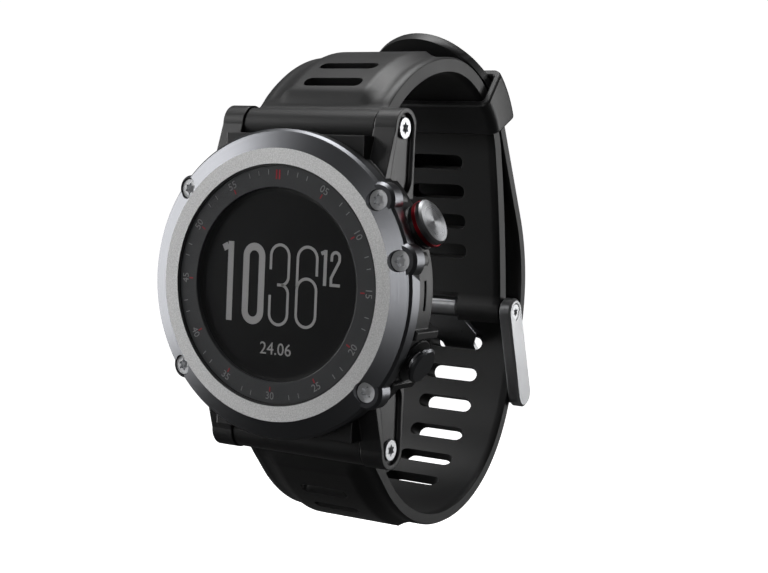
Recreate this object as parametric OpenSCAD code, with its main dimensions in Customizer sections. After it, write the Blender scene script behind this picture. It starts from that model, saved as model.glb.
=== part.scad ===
// Rugged multisport GPS watch, fastened as on a wrist.
// World frame: X to the 3 o'clock side, Y from the dial to the wrist, Z to 12 o'clock.
// The origin is the middle of the case back's outer face. Millimetres.

/* [Case] */
// Radius of the steel bezel
bezel_r = 25.7; // [25.5:0.1:26]
// Distance from the case back to the top of the bezel
case_h = 15.3; // [15.3:0.1:15.8]
// Radius of the glass lens
lens_r = 19.6; // [19.3:0.1:19.8]
// Radius of the part of the display that shows
view_r = 16.1; // [15.2:0.1:16.3]

/* [Strap] */
// Width of the strap
strap_w = 26; // [25.6:0.1:26]
// Thickness of the short, 12 o'clock strap
short_t = 2.9; // [2.5:0.1:2.9]
// Thickness of the long, 6 o'clock strap
long_t = 2.2; // [1.8:0.1:2.2]
// Width of the through slots
slot_w = 11.8; // [11.6:0.1:12.5]
// Height of the through slots, along the strap
slot_h = 2.8; // [2.7:0.1:3.2]

/* [Buttons] */
// How far each button travels
press = 0.7; // [0.4:0.1:0.7]
// Radius of the start button's cap
start_cap_r = 3.8; // [3.2:0.1:3.9]
// Radius of the other four caps
cap_r = 3.1; // [2.8:0.1:3.3]

/* [Hidden] */
$fn = 64;
// heights in the case, from the outer face of the case back
plate_t = 1.2;
flange_z = 1.4;
floor_z = 2.4;
wall_top = case_h - 3.9;
lens_z = case_h - 1.4;
ring_z = lens_z - 0.8;
panel_z = ring_z - 1.1;
light_z = panel_z - 0.6;
holder_z = light_z - 1;
board_z = holder_z - 1.2;
board_t = 0.8;
button_z = 7.5;
// radii
case_r = bezel_r - 0.4;
case_in = 21.3;
back_r = 19.5;
flange_in = 16.6;
// clock places of the fasteners and buttons, in degrees anticlockwise from 3 o'clock
screw_at = [38, 13.2, -41, 141.2, 218.8];
screw_r = 24.1;
start_at = 25;
back_at = -25;
light_at = 155;
up_at = 180;
down_at = 205;
button_at = [start_at, back_at, light_at, up_at, down_at];
back_screw_at = [40, 140, 220, 320];
back_screw_r = 18.1;
// button stack, as distances from the case's axis
stem_r = 1;
bush_r = 1.9;
bush_out = case_r + 0.2;
clip_r0 = case_in - 0.45;
stem_end = case_in - 0.75;
cap_base = bush_out + 0.9;
start_tall = 1.7;
start_foot = 0.6;
start_waist = 0.45;
cap_tall = 1;
cap_bevel = 0.35;
// lugs and strap pins
pin_y = -4;
pin_z = 26.6;
pin_r = 1.25;
lug_in = strap_w / 2 + 0.3;
lug_out = lug_in + 4.2;
lug_tip = 3.3;
bar_r = 3.1;
fit = 0.05;
// the strap loop runs round this centre at the loop keeper
loop_y = 19.44;
loop_z = 19.6;
short_r = 19.2;
long_r = short_r + (short_t + long_t) / 2 + 0.2;
// stretches of the short strap's middle line: [length, turn in degrees]
short_top = [loop_y - short_r * sin(2), loop_z + short_r * cos(2), 2];
short_back = [[26.8, 52.7]];
short_down = [[short_r * 78 * PI / 180, -78], [30.9, -8.5]];
short_len = 57.04;
// stretches of the long strap's middle line, from its lug pin
long_start = [pin_y, -pin_z, -48];
long_low = [[10.5, 0], [50.5, 112], [6.5, 11]];
long_low_len = 67.5;
long_swell = [24, 42];
keep_from = 117;
keep_turn = 18;
tip_bends = [[12.95, -11.4]];
tongue_slot = 76.3;
slots_long = [for (k = [-5 : 2]) tongue_slot + 6.4 * k];
slots_short = [for (k = [0 : 3]) 54.9 + 5.85 * k];
lug_slots_short = [8.3, 13.6];
lug_slots_long = [12.1, 17.6];
lug_slot_h = 2.2;
panel_w = 17;
panel_rise = 1;
// buckle
arm_t = 2.5;
arm_in = strap_w / 2 + 0.3;
buckle_pin_r = 0.9;
arm_r = 2.6;
arm_end_r = 2.7;
bar2_r = 1.2;
tongue_t = 1;
neck_w = 7;
tongue_w = 11;
tongue_tip_w = 7;
// loop keeper: degrees round the loop centre
keeper_from = 28;
keeper_span = 24;
keeper_in = 0.25;
keeper_out = 0.75;
keeper_t = 1.4;

// ---- geometry helpers ----
// end state [y, z, heading] of an arc or straight that starts at state a
function arc_end(a, len, turn) =
    abs(turn) < 0.001
    ? [a[0] + len * cos(a[2]), a[1] + len * sin(a[2]), a[2]]
    : let (chord = 2 * len / (turn * PI / 180) * sin(turn / 2))
      [a[0] + chord * cos(a[2] + turn / 2), a[1] + chord * sin(a[2] + turn / 2), a[2] + turn];
// state at a distance s along a list of [length, turn] stretches
function along(a, list, s, i = 0) =
    i == len(list) - 1 || s <= list[i][0]
    ? arc_end(a, s, list[i][1] * s / list[i][0])
    : along(arc_end(a, list[i][0], list[i][1]), list, s - list[i][0], i + 1);
// the two straights that carry the long strap from its low bend to the loop keeper
low_end = along(long_start, long_low, long_low_len);
swell_end = arc_end([0, 0, low_end[2]], long_swell[0], long_swell[1]);
keep_pt = [loop_y + long_r * cos(keep_from - 90), loop_z + long_r * sin(keep_from - 90)];
gap_v = [keep_pt[0] - low_end[0] - swell_end[0], keep_pt[1] - low_end[1] - swell_end[1]];
det = cos(low_end[2]) * sin(keep_from) - sin(low_end[2]) * cos(keep_from);
run_1 = (gap_v[0] * sin(keep_from) - gap_v[1] * cos(keep_from)) / det;
run_2 = (cos(low_end[2]) * gap_v[1] - sin(low_end[2]) * gap_v[0]) / det;
long_path = concat(long_low, [[run_1, 0], long_swell, [run_2, 0],
    [long_r * keep_turn * PI / 180, keep_turn]], tip_bends);
function total(list, i = 0) = i == len(list) ? 0 : list[i][0] + total(list, i + 1);
long_len = total(long_path);
// short strap: distance s from its lug pin
function on_short(s) = s < 26.8
    ? let (b = along([short_top[0], short_top[1], 182], short_back, 26.8 - s)) [b[0], b[1], b[2] - 180]
    : along(short_top, short_down, s - 26.8);
short_total = 26.8 + short_len;
function on_long(s) = along(long_start, long_path, s);
long_tip = on_long(long_len);
tip_root = on_long(long_len - strap_w / 2 - 0.2);
tip_dir = atan2(long_tip[1] - tip_root[1], long_tip[0] - tip_root[0]);
function side(p, d) = [p[0] - d * sin(p[2]), p[1] + d * cos(p[2])];
function shift(p, d) = concat(side(p, d), p[2]);
buckle_pin = on_short(short_total);
bar_pt = side(on_long(66.9), -(long_t / 2 + 0.25 + bar2_r));
arm_pt = side(on_long(67.8), -1.4);
cross_pt = on_long(tongue_slot);
tongue_dir = -42;
bend_pt = [cross_pt[0] - 3.6 * cos(tongue_dir), cross_pt[1] - 3.6 * sin(tongue_dir)];
tip_pt = [cross_pt[0] + 5 * cos(tongue_dir), cross_pt[1] + 5 * sin(tongue_dir)];

// turns a shape drawn dial-up, z from the case back, into the world frame
module dial_up() { rotate([90, 0, 0]) children(); }
// turns a shape drawn in the YZ plane and thick along X into the world frame
module sideways() { rotate([90, 0, 90]) children(); }
// a ring, dial-up
module ring(r1, r2, z1, z2) {
    translate([0, 0, z1]) difference() {
        cylinder(r = r2, h = z2 - z1);
        translate([0, 0, -1]) cylinder(r = r1, h = z2 - z1 + 2);
    }
}
// a cylinder that points out of the case at clock place a, from r1 to r2
module spoke(a, r, r1, r2) {
    dial_up() rotate(a) translate([r1, 0, button_z]) rotate([0, 90, 0]) cylinder(r = r, h = r2 - r1);
}
// a cylinder along X through the point p of the YZ plane
module across(p, r, x1, x2) {
    translate([x1, p[0], p[1]]) rotate([0, 90, 0]) cylinder(r = r, h = x2 - x1);
}
// a strip of even thickness along a strap's middle line, in the YZ plane
module strip(pts, t) {
    n = len(pts);
    polygon(concat([for (p = pts) side(p, t / 2)], [for (i = [n - 1 : -1 : 0]) side(pts[i], -t / 2)]));
}
// outer shape of two discs and the band that touches both
module link(a, ra, b, rb) {
    d = norm([b[0] - a[0], b[1] - a[1]]);
    h = atan2(b[1] - a[1], b[0] - a[0]);
    w = asin((ra - rb) / d);
    translate([a[0], a[1]]) circle(r = ra);
    translate([b[0], b[1]]) circle(r = rb);
    polygon([for (q = [[a, ra, 1], [b, rb, 1], [b, rb, -1], [a, ra, -1]])
        [q[0][0] + q[1] * cos(h + q[2] * (90 - w)), q[0][1] + q[1] * sin(h + q[2] * (90 - w))]]);
}
// a six-pointed star recess
module star(r, z1, z2) {
    translate([0, 0, z1]) linear_extrude(z2 - z1)
        polygon([for (i = [0 : 11]) (i % 2 == 0 ? r : 0.62 * r) * [cos(30 * i), sin(30 * i)]]);
}

// ---- case ----
// moulded middle case with its lugs, button bosses and vent
module lug_plate(s) {
    // s is 1 for the upper lugs and -1 for the lower ones
    sideways() linear_extrude(lug_out - lug_in) {
        translate([pin_y, s * pin_z]) circle(r = lug_tip);
        polygon([[pin_y - lug_tip + 0.02, s * pin_z], [pin_y + lug_tip - 0.3, s * pin_z],
            [-0.9, s * 15], [-11, s * 15], [-9.6, s * 19.5]]);
    }
}
module lug_recess(s) {
    // tapered hollow in the lug's outer face, round the screw
    sideways() linear_extrude(1) link([pin_y, s * pin_z], lug_tip - 0.8, [-4.9, s * 18.5], 3.3);
}
module case_body() {
    color("#26272a") difference() {
        union() {
            dial_up() rotate_extrude($fn = 128) polygon([[flange_in, flange_z], [back_r + 0.2, flange_z],
                [back_r + 0.2, 0.3], [back_r + 1.2, 0.3], [case_r - 0.6, 5.6], [case_r, 6.6],
                [case_r, wall_top], [case_in, wall_top], [case_in, floor_z], [flange_in, floor_z]]);
            intersection() {
                for (s = [1, -1]) for (x = [lug_in, -lug_out]) translate([x, 0, 0]) lug_plate(s);
                difference() {
                    translate([-lug_out - 1, -wall_top, -35]) cube([2 * lug_out + 2, wall_top - 0.9, 70]);
                    dial_up() cylinder(r = case_in + 1, h = wall_top + 1);
                }
            }
            // web between the lugs, under the bezel
            for (s = [17, -25]) difference() {
                translate([-lug_in - 0.5, -wall_top + 0.5, s]) cube([2 * lug_in + 1, wall_top - 3, 8]);
                dial_up() cylinder(r = case_in + 1, h = 20);
            }
            // a raised seat round each button
            for (a = button_at) difference() {
                spoke(a, 3.7, case_in + 1, bush_out);
                dial_up() cylinder(r = case_in + 0.5, h = 20);
            }
            // guard ridges on both sides of the back button
            for (d = [-10.5, 10.5]) dial_up() rotate(back_at + d) translate([case_r - 1.2, 0, button_z - 3.4])
                linear_extrude(6.8) polygon([[-0.5, -1.6], [1.9, -0.6], [1.9, 0.6], [-0.5, 1.6]]);
            // bosses for the bezel screws
            for (a = screw_at) dial_up() rotate(a) translate([screw_r - 0.6, 0, wall_top - 3.6])
                cylinder(r = 2.1, h = 3.3);
        }
        // room for the strap ends
        for (s = [1, -1]) across([pin_y, s * pin_z], bar_r + 0.35, -lug_in, lug_in);
        for (s = [1, -1]) translate([-lug_in, -7.2, s > 0 ? pin_z : -pin_z - 8])
            cube([2 * lug_in, 7.2, 8]);
        // lug screw holes with head seats, and the hollows round them
        for (s = [1, -1]) {
            across([pin_y, s * pin_z], stem_r + 0.05, -lug_out - 1, lug_out + 1);
            for (x = [lug_out - 0.7, -lug_out - 0.3]) translate([x, 0, 0]) lug_recess(s);
            for (x = [lug_out - 1.5, -lug_out + 0.5]) across([pin_y, s * pin_z], 1.75, x, x + 1);
        }
        for (a = button_at) spoke(a, bush_r, case_in - 1, case_r + 2);
        for (a = screw_at) dial_up() rotate(a) translate([screw_r, 0, wall_top - 3])
            cylinder(r = 0.85, h = 4);
        for (a = back_screw_at) dial_up() rotate(a) translate([back_screw_r, 0, flange_z - 0.1])
            cylinder(r = 0.6, h = 0.8);
        // groove for the back gasket
        dial_up() ring(16.9, 17.3, flange_z - 0.1, flange_z + 0.5);
        // vent slit to the pressure sensor
        dial_up() translate([case_in - 1, -2.5, button_z + 1.2]) cube([8, 4.8, 0.6]);
    }
}
// steel bezel: flat ring, sloped flank, and ears round its screws
module bezel() {
    color("#4b4c50") difference() {
        union() {
            dial_up() rotate_extrude($fn = 128) polygon([[lens_r + 0.35, lens_z], [lens_r + 0.35, case_h],
                [22.5, case_h], [bezel_r - 0.4, case_h - 1.1], [bezel_r, case_h - 1.6],
                [bezel_r, wall_top + 0.05], [20.7, wall_top + 0.05], [20.7, lens_z - 0.9],
                [lens_r - 0.25, lens_z - 0.9], [lens_r - 0.25, lens_z]]);
            for (i = [0 : 4]) dial_up() rotate(screw_at[i]) translate([screw_r, 0, 0]) {
                r = i < 3 ? 2.9 : 2.3;
                translate([0, 0, wall_top + 0.05]) cylinder(r = r, h = case_h - wall_top - 1.55);
                translate([0, 0, case_h - 1.5]) cylinder(r1 = r, r2 = r - 0.45, h = 0.55);
            }
        }
        for (a = screw_at) dial_up() rotate(a) translate([screw_r, 0, 0]) {
            translate([0, 0, wall_top - 1]) cylinder(r = 0.95, h = 6);
            translate([0, 0, case_h - 2.4]) cylinder(r = 1.75, h = 4);
        }
        // keeps the ears out of the lens seat
        dial_up() cylinder(r = lens_r + 0.35, h = case_h + 1);
        dial_up() translate([0, 0, lens_z - 0.5]) cylinder(r = lens_r + 0.35, h = 6);
    }
    // ledge that carries the lens
    color("#4b4c50") dial_up() ring(lens_r - 0.25, lens_r + 0.36, lens_z - 0.9, lens_z);
}
module bezel_screws() {
    color("#9a9da2") for (a = screw_at) dial_up() rotate(a) translate([screw_r, 0, 0]) difference() {
        union() {
            translate([0, 0, case_h - 2.4]) cylinder(r = 1.65, h = 1.25);
            translate([0, 0, wall_top - 2.8]) cylinder(r = 0.8, h = 5);
        }
        star(1.1, case_h - 1.9, case_h);
    }
}
module lens() {
    color("#303438", 0.5) dial_up() rotate_extrude($fn = 128) polygon([[0, lens_z], [lens_r, lens_z],
        [lens_r, case_h - 0.15], [lens_r - 0.25, case_h + 0.1], [0, case_h + 0.1]]);
}
module lens_gasket() { color("#0c0c0d") dial_up() ring(lens_r, lens_r + 0.35, lens_z, case_h - 0.2); }
module chapter_ring() {
    color("#37383a") dial_up() ring(view_r, lens_r - 0.3, ring_z, lens_z);
}
module display_panel() {
    color("#17181a") dial_up() {
        translate([0, 0, panel_z]) cylinder(r = view_r + 0.5, h = ring_z - panel_z);
        translate([-5, -view_r - 2.4, panel_z]) cube([10, 4, 0.5]);
    }
}
module light_guide() { color("#dfe4e8") dial_up() translate([0, 0, light_z]) cylinder(r = 16.3, h = 0.6); }
module display_holder() {
    color("#2f3236") dial_up() difference() {
        union() {
            translate([0, 0, holder_z]) cylinder(r = 19, h = 1);
            ring(view_r + 0.6, 19, light_z, ring_z);
        }
        translate([-5.4, -20, holder_z - 1]) cube([10.8, 4.8, 6]);
        for (a = [60, 300]) rotate(a) translate([17.4, -1.6, holder_z - 1]) cube([4, 3.2, 6]);
    }
}
module main_board() {
    color("#1d5a3a") dial_up() difference() {
        translate([0, 0, board_z]) cylinder(r = 19, h = board_t);
        translate([-5.4, -20, board_z - 1]) cube([10.8, 2.2, 3]);
        for (a = [15, 105, 255]) rotate(a) translate([17.6, 0, board_z - 1]) cylinder(r = 0.6, h = 3);
    }
}
module board_screws() {
    color("#b9bcc0") for (a = [15, 105, 255]) dial_up() rotate(a) translate([17.6, 0, 0]) {
        translate([0, 0, board_z - 0.5]) cylinder(r = 1, h = 0.5);
        translate([0, 0, board_z]) cylinder(r = 0.55, h = 1.2);
    }
}
module shield_can() {
    color("#c3c6ca") dial_up() translate([7.6, -5.5, board_z - 1.7]) difference() {
        cube([7.6, 11, 1.7]);
        translate([0.2, 0.2, 0.2]) cube([7.2, 10.6, 2]);
    }
}
module receiver_chip() { color("#202124") dial_up() translate([9, -2.5, board_z - 0.9]) cube([5, 5, 0.9]); }
module antenna_contacts() {
    color("#d8b45c") for (a = [60, 300]) dial_up() rotate(a) translate([17.8, -1, board_z + board_t])
        difference() {
            cube([1.6, 2, lens_z - 0.9 - board_z - board_t]);
            translate([0.25, -1, 0.25]) cube([2, 4, 2.5]);
        }
}
module battery() {
    color("#8f959c") dial_up() translate([-13.5, -11, 2.7]) cube([20, 22, 4.6]);
}
module battery_pad() { color("#e2c36a") dial_up() translate([-12, -9.5, 7.3]) cube([17, 19, board_z - 7.3]); }
module vibration_motor() {
    color("#a8abb0") dial_up() translate([10.8, -12.4, board_z - 2.9]) cylinder(r = 3.4, h = 2.9);
}
module buzzer() {
    color("#caa85a") dial_up() {
        translate([2, 0, plate_t]) cylinder(r = 8, h = 0.3);
        translate([2, 0, plate_t + 0.3]) cylinder(r = 5.6, h = 0.3);
    }
}
module pressure_sensor() {
    color("#bfc3c8") dial_up() difference() {
        translate([19.35, -2.4, button_z]) rotate([0, 90, 0]) cylinder(r = 1.3, h = 1.2);
        translate([20.2, -2.4, button_z]) rotate([0, 90, 0]) cylinder(r = 0.9, h = 1);
    }
}
module vent_membrane() {
    color("#e9e9e6") dial_up() intersection() {
        ring(case_in - 0.3, case_in - 0.05, button_z - 1, button_z + 2.2);
        translate([18, -3.9, 0]) cube([5, 6.6, 20]);
    }
}
module display_flex() {
    // a thin ribbon from the panel's lower edge round to the board
    color("#b5701c") dial_up() translate([4, 0, 0]) rotate([90, 0, -90]) linear_extrude(8)
        polygon([[view_r + 1.4, panel_z - 0.02], [19.4, panel_z - 0.02], [19.4, board_z - 0.25],
            [17.6, board_z - 0.25], [17.6, board_z - 0.05], [19.2, board_z - 0.05],
            [19.2, panel_z - 0.22], [view_r + 1.4, panel_z - 0.22]]);
}
module button_switches() {
    color("#c9ccd0") for (a = button_at) dial_up() rotate(a) {
        translate([17.6, -1.7, button_z - 1.3]) cube([1.5, 3.4, 2.6]);
        translate([19, 0, button_z]) rotate([0, 90, 0]) cylinder(r = 0.7, h = 0.7);
    }
}
module back_cover() {
    color("#8a8c90") dial_up() difference() {
        rotate_extrude($fn = 128) polygon([[0, 0], [back_r - 0.5, 0], [back_r, 0.5], [back_r, plate_t],
            [0, plate_t]]);
        for (a = back_screw_at) rotate(a) translate([back_screw_r, 0, -1]) cylinder(r = 0.65, h = 4);
        for (a = back_screw_at) rotate(a) translate([back_screw_r, 0, -1]) cylinder(r = 1.1, h = 1.5);
        translate([-7, -15.2, -1]) cube([14, 4, 4]);
    }
}
module back_gasket() { color("#111112") dial_up() ring(16.9, 17.3, plate_t, flange_z + 0.5); }
module back_screws() {
    color("#b4b6ba") for (a = back_screw_at) dial_up() rotate(a) translate([back_screw_r, 0, 0])
        difference() {
            union() {
                translate([0, 0, 0.1]) cylinder(r = 1.05, h = 0.4);
                cylinder(r = 0.55, h = flange_z + 0.6);
            }
            star(0.6, -0.2, 0.35);
        }
}
module contact_block() {
    color("#1a1a1c") dial_up() difference() {
        translate([-6.9, -15.1, 0.2]) cube([13.8, 3.8, 1.6]);
        for (x = [-4.8 : 3.2 : 4.8]) translate([x, -13.2, -1]) cylinder(r = 0.9, h = 4);
    }
}
module charging_contacts() {
    color("#d9b65f") for (x = [-4.8 : 3.2 : 4.8]) dial_up() translate([x, -13.2, 0.35])
        cylinder(r = 0.85, h = 1.4);
}
// ---- buttons ----
module button_bushings() {
    color("#7d8085") for (a = button_at) difference() {
        spoke(a, bush_r, case_in, bush_out);
        spoke(a, stem_r + fit, case_in - 1, bush_out + 1);
        spoke(a, 1.7, bush_out - 1.6, bush_out + 1);
        spoke(a, 1.55, case_in + 0.8, case_in + 1.8);
    }
}
module button_seals() {
    color("#17181a") for (a = button_at) difference() {
        spoke(a, 1.5, case_in + 0.85, case_in + 1.75);
        spoke(a, stem_r + 0.03, case_in, case_in + 3);
    }
}
// anodised ring pressed round the foot of the start button's cap
module start_ring() {
    color("#a8202c") difference() {
        spoke(start_at, start_cap_r + 0.1, cap_base, cap_base + start_foot);
        spoke(start_at, start_cap_r - start_waist, case_in, cap_base + 2);
    }
}
// cap and stem in one piece, with a groove for its clip; the foot of the cap may be narrower
module button(a, r, tall, foot, waist) {
    difference() {
        union() {
            dial_up() rotate(a) translate([cap_base, 0, button_z]) rotate([0, 90, 0])
                rotate_extrude() polygon([[0, 0], [r - waist, 0], [r - waist, foot], [r, foot],
                    [r, tall - cap_bevel], [r - cap_bevel, tall], [0, tall]]);
            spoke(a, stem_r, stem_end, cap_base + 0.1);
        }
        difference() {
            spoke(a, stem_r + 1, clip_r0, clip_r0 + 0.4);
            spoke(a, 0.7, clip_r0 - 1, clip_r0 + 1);
        }
    }
}
module clip(a) {
    color("#c8cacd") difference() {
        spoke(a, 1.6, clip_r0, clip_r0 + 0.38);
        spoke(a, 0.72, clip_r0 - 1, clip_r0 + 1);
        dial_up() rotate(a) translate([clip_r0 - 1, -0.55, button_z]) cube([3, 1.1, 4]);
    }
}
// wave spring between the bush and the cap
module spring(a) {
    step = (cap_base - bush_out + 1.6) / 6;
    color("#c2c4c8") dial_up() rotate(a) translate([bush_out - 1.6, 0, button_z]) rotate([0, 90, 0])
        rotate_extrude() polygon(concat(
            [for (i = [0 : 6]) [i % 2 == 0 ? 1.6 : 1.42, i * step]],
            [for (i = [6 : -1 : 0]) [i % 2 == 0 ? 1.4 : 1.2, i * step]]));
}
module start_button() { color("#a9abae") button(start_at, start_cap_r, start_tall, start_foot, start_waist); }
module back_button() { color("#55575b") button(back_at, cap_r, cap_tall, cap_bevel, cap_bevel); }
module light_button() { color("#55575b") button(light_at, cap_r, cap_tall, cap_bevel, cap_bevel); }
module up_button() { color("#55575b") button(up_at, cap_r, cap_tall, cap_bevel, cap_bevel); }
module down_button() { color("#55575b") button(down_at, cap_r, cap_tall, cap_bevel, cap_bevel); }
module start_clip() { clip(start_at); }
module back_clip() { clip(back_at); }
module light_clip() { clip(light_at); }
module up_clip() { clip(up_at); }
module down_clip() { clip(down_at); }
module start_spring() { spring(start_at); }
module back_spring() { spring(back_at); }
module light_spring() { spring(light_at); }
module up_spring() { spring(up_at); }
module down_spring() { spring(down_at); }
// ---- strap ----
module lug_pin(s) {
    color("#9fa2a6") difference() {
        across([pin_y, s * pin_z], pin_r, -lug_in + 0.05, lug_in - 0.05);
        for (x = [-lug_in, lug_in - 4]) across([pin_y, s * pin_z], 0.9, x, x + 4);
    }
}
module upper_lug_pin() { lug_pin(1); }
module lower_lug_pin() { lug_pin(-1); }
// one screw in each end of a lug pin
module lug_screws(s) {
    color("#b0b2b6") for (k = [0, 1]) mirror([k, 0, 0]) difference() {
        union() {
            across([pin_y, s * pin_z], 1.7, lug_out - 1.45, lug_out - 0.2);
            across([pin_y, s * pin_z], 0.85, lug_in - 3.5, lug_out - 1.4);
        }
        translate([0, pin_y, s * pin_z]) rotate([0, 90, 0]) star(1.1, lug_out - 0.8, lug_out + 1);
    }
}
module upper_lug_screws() { lug_screws(1); }
module lower_lug_screws() { lug_screws(-1); }
// a slot that cuts through a strap at a state of its middle line
module slot_at(p, h, w) {
    translate([-w / 2, p[0], p[1]]) rotate([p[2], 0, 0]) {
        translate([0, -h / 2, -3]) cube([w, h, 6]);
    }
}
module short_strap() {
    color("#232427") difference() {
        union() {
            sideways() translate([0, 0, -strap_w / 2]) linear_extrude(strap_w) {
                strip([for (s = [0 : 1.5 : short_total - 0.5]) on_short(s)], short_t);
                translate([pin_y, pin_z]) circle(r = bar_r);
                translate([buckle_pin[0], buckle_pin[1]]) circle(r = 2.4);
            }
            // raised panel behind the lugs
            sideways() translate([0, 0, -panel_w / 2]) linear_extrude(panel_w)
                strip([for (s = [4 : 1.5 : 26.5]) shift(on_short(s), panel_rise / 2)], short_t + panel_rise);
        }
        across([pin_y, pin_z], pin_r + fit, -20, 20);
        across([buckle_pin[0], buckle_pin[1]], buckle_pin_r + fit, -20, 20);
        for (s = slots_short) slot_at(on_short(s), slot_h, slot_w);
        for (s = lug_slots_short) slot_at(on_short(s), lug_slot_h, slot_w);
        // window for the tongue's roll
        translate([-neck_w / 2 - 0.4, buckle_pin[0], buckle_pin[1]]) rotate([buckle_pin[2], 0, 0])
            translate([0, -3.2, -4]) cube([neck_w + 0.8, 8, 8]);
    }
}
module long_strap() {
    color("#232427") difference() {
        union() {
            sideways() translate([0, 0, -strap_w / 2]) linear_extrude(strap_w) {
                strip(concat([for (s = [0 : 1.5 : long_len - 1]) on_long(s)], [on_long(long_len)]), long_t);
                translate([pin_y, -pin_z]) circle(r = bar_r);
            }
            sideways() translate([0, 0, -panel_w / 2]) linear_extrude(panel_w)
                strip([for (s = [4 : 1.5 : 26.5]) shift(on_long(s), -panel_rise / 2)], long_t + panel_rise);
        }
        across([pin_y, -pin_z], pin_r + fit, -20, 20);
        for (s = slots_long) slot_at(on_long(s), slot_h, slot_w);
        for (s = lug_slots_long) slot_at(on_long(s), lug_slot_h, slot_w);
        // half-round tip
        translate([0, tip_root[0], tip_root[1]]) rotate([tip_dir, 0, 0]) difference() {
            translate([-strap_w, 0, -6]) cube([2 * strap_w, strap_w, 12]);
            translate([0, 0, -7]) cylinder(r = strap_w / 2, h = 14);
        }
    }
}
module buckle_pin_rod() {
    color("#a6a9ad") difference() {
        across([buckle_pin[0], buckle_pin[1]], buckle_pin_r, -arm_in + 0.05, arm_in - 0.05);
        for (x = [-arm_in, arm_in - 3]) across([buckle_pin[0], buckle_pin[1]], 0.6, x, x + 3);
    }
}
module buckle_screws() {
    color("#b0b2b6") for (k = [0, 1]) mirror([k, 0, 0]) difference() {
        union() {
            across([buckle_pin[0], buckle_pin[1]], 1.5, arm_in + arm_t - 1.1, arm_in + arm_t - 0.1);
            across([buckle_pin[0], buckle_pin[1]], 0.55, arm_in - 2.5, arm_in + arm_t - 1);
        }
        translate([0, buckle_pin[0], buckle_pin[1]]) rotate([0, 90, 0])
            star(0.9, arm_in + arm_t - 0.7, arm_in + arm_t + 1);
    }
}
module buckle_frame() {
    color("#b2b4b7") difference() {
        union() {
            for (x = [arm_in, -arm_in - arm_t]) translate([x, 0, 0]) sideways() linear_extrude(arm_t)
                link(buckle_pin, arm_r, arm_pt, arm_end_r);
            across(bar_pt, bar2_r, -arm_in - 0.5, arm_in + 0.5);
        }
        across([buckle_pin[0], buckle_pin[1]], 0.6, -20, 20);
        for (x = [arm_in + arm_t - 1.15, -arm_in - arm_t - 0.85])
            across([buckle_pin[0], buckle_pin[1]], 1.55, x, x + 2);
    }
}
module buckle_tongue() {
    color("#b2b4b7") difference() {
        union() {
            across([buckle_pin[0], buckle_pin[1]], 1.9, -neck_w / 2, neck_w / 2);
            intersection() {
                sideways() translate([0, 0, -tongue_w / 2]) linear_extrude(tongue_w) {
                    link(buckle_pin, tongue_t / 2, bend_pt, tongue_t / 2);
                    link(bend_pt, tongue_t / 2, tip_pt, tongue_t / 2);
                }
                // the blade widens from the neck to the slot, seen square to the strap
                translate([0, 30, 0]) rotate([-90, 0, 0]) linear_extrude(40) polygon([
                    [-neck_w / 2, -buckle_pin[1] - 2], [neck_w / 2, -buckle_pin[1] - 2],
                    [neck_w / 2, -buckle_pin[1] + 2], [tongue_w / 2, -bend_pt[1]],
                    [tongue_tip_w / 2, -cross_pt[1]], [tongue_tip_w / 2, 30],
                    [-tongue_tip_w / 2, 30], [-tongue_tip_w / 2, -cross_pt[1]],
                    [-tongue_w / 2, -bend_pt[1]], [-neck_w / 2, -buckle_pin[1] + 2]]);
            }
        }
        across([buckle_pin[0], buckle_pin[1]], buckle_pin_r + fit, -20, 20);
    }
}
module strap_keeper() {
    r1 = short_r - short_t / 2 - keeper_in;
    r2 = long_r + long_t / 2 + keeper_out;
    w = strap_w + 0.6;
    color("#2b2c2f") sideways() translate([loop_y, loop_z, 0]) rotate(keeper_from)
        rotate_extrude(angle = keeper_span, $fn = 128) difference() {
            translate([r1 - keeper_t, -w / 2 - keeper_t]) square([r2 - r1 + 2 * keeper_t, w + 2 * keeper_t]);
            translate([r1, -w / 2]) square([r2 - r1, w]);
        }
}

case_body();
bezel();
bezel_screws();
lens();
lens_gasket();
chapter_ring();
display_panel();
light_guide();
display_holder();
main_board();
board_screws();
shield_can();
receiver_chip();
antenna_contacts();
battery();
battery_pad();
vibration_motor();
buzzer();
pressure_sensor();
vent_membrane();
display_flex();
button_switches();
back_cover();
back_gasket();
back_screws();
contact_block();
charging_contacts();
button_bushings();
button_seals();
start_ring();
start_button();
back_button();
light_button();
up_button();
down_button();
start_clip();
back_clip();
light_clip();
up_clip();
down_clip();
start_spring();
back_spring();
light_spring();
up_spring();
down_spring();
upper_lug_pin();
lower_lug_pin();
upper_lug_screws();
lower_lug_screws();
short_strap();
long_strap();
buckle_pin_rod();
buckle_screws();
buckle_frame();
buckle_tongue();
strap_keeper();
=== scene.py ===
import bmesh
import bpy
import numpy as np
from mathutils import Matrix, Vector


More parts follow.
